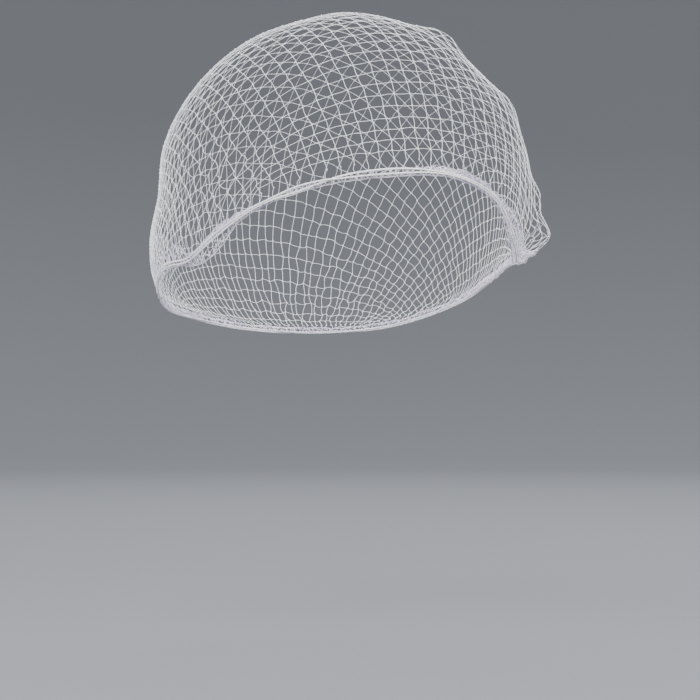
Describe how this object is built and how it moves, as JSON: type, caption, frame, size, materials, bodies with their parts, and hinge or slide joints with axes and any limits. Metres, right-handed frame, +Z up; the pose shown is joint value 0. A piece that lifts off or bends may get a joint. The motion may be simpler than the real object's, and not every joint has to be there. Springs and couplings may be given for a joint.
{
  "type": "mesh hairnet",
  "caption": "Open knotted-mesh hairnet in its worn dome form, bunched along its edge onto a whole loop of elastic thread.",
  "frame": {"origin": "the inside of the net at the top of the crown, where it sits on a head", "axes": "+Z up, out of the crown; -Y is the front edge over the forehead; +X is the side that is on the right seen from the front"},
  "size_m": [0.1909, 0.203, 0.1544],
  "materials": {
    "nylon_net": "white knotted nylon thread, faint sheen",
    "bunched_net": "white nylon net bunched in many layers",
    "elastic_thread": "white covered elastic thread, matt"
  },
  "bodies": {
    "root": {"net_crown": "nylon_net", "front_hem": "bunched_net", "left_gather": "bunched_net", "right_gather": "bunched_net", "nape_hem": "bunched_net", "edge_elastic": "elastic_thread"}
  },
  "joints": []
}
